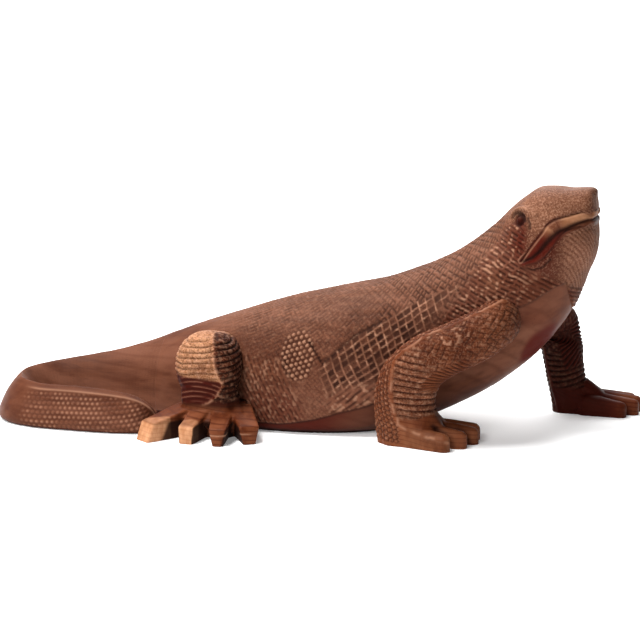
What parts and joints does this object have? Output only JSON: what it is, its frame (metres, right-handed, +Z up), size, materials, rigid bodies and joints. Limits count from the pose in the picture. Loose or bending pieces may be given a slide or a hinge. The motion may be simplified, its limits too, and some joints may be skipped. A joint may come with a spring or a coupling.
{
  "type": "carved wooden lizard figure",
  "caption": "Carved hardwood lizard standing with a raised chest, its tail folded back on itself, the legs and tail held by glued dowels.",
  "frame": {"origin": "on the ground, under the middle of the whole figure's box", "axes": "+X forward along the body towards the snout, +Y the animal's left, +Z up from the ground it rests on"},
  "size_m": [0.3411, 0.1538, 0.1295],
  "materials": {
    "carved_wood": "waxed reddish-brown hardwood, finely cross-hatched, semi-gloss on the ridges",
    "dowel_wood": "plain pale hardwood dowel"
  },
  "bodies": {
    "root": {"body": "carved_wood", "tail": "carved_wood", "front_leg_right": "carved_wood", "front_leg_left": "carved_wood", "hind_leg_right": "carved_wood", "hind_leg_left": "carved_wood", "tail_dowel": "dowel_wood", "front_right_upper_dowel": "dowel_wood", "front_right_lower_dowel": "dowel_wood", "front_left_upper_dowel": "dowel_wood", "front_left_lower_dowel": "dowel_wood", "hind_right_upper_dowel": "dowel_wood", "hind_right_lower_dowel": "dowel_wood", "hind_left_upper_dowel": "dowel_wood", "hind_left_lower_dowel": "dowel_wood"}
  },
  "joints": []
}
